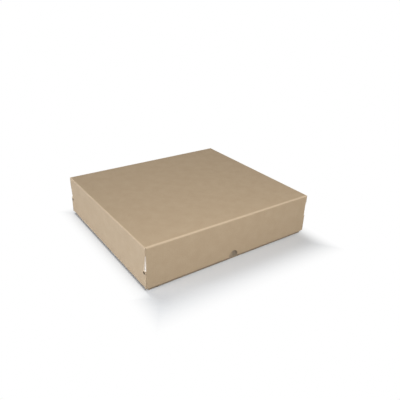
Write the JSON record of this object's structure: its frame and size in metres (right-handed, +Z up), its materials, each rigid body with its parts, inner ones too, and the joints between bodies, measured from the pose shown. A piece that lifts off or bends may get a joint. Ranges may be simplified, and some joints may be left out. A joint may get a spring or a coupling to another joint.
{
  "type": "wine gift box",
  "caption": "Shallow two-piece kraft board gift box with a lift-off lid and slotted dividers that keep wine bottles apart, lying side by side.",
  "frame": {"origin": "centre of the underside of the base tray, on the surface that the box stands on", "axes": "+Z up, -Y towards the front wall of the lid, +X to the right along the front wall"},
  "size_m": [0.37, 0.33, 0.086],
  "materials": {
    "kraft_board": "brown kraft liner outside, white liner inside",
    "divider_board": "brown kraft liner on both sides"
  },
  "bodies": {
    "base": {"base_tray": "kraft_board", "divider_left": "divider_board", "divider_middle": "divider_board", "divider_right": "divider_board", "neck_support": "divider_board"},
    "lid": {"lid": "kraft_board"}
  },
  "joints": [
    {"name": "lid_lift", "type": "slide", "parent": "base", "child": "lid", "axis": [0, 0, 1], "range_m": [0, 0.1]}
  ]
}
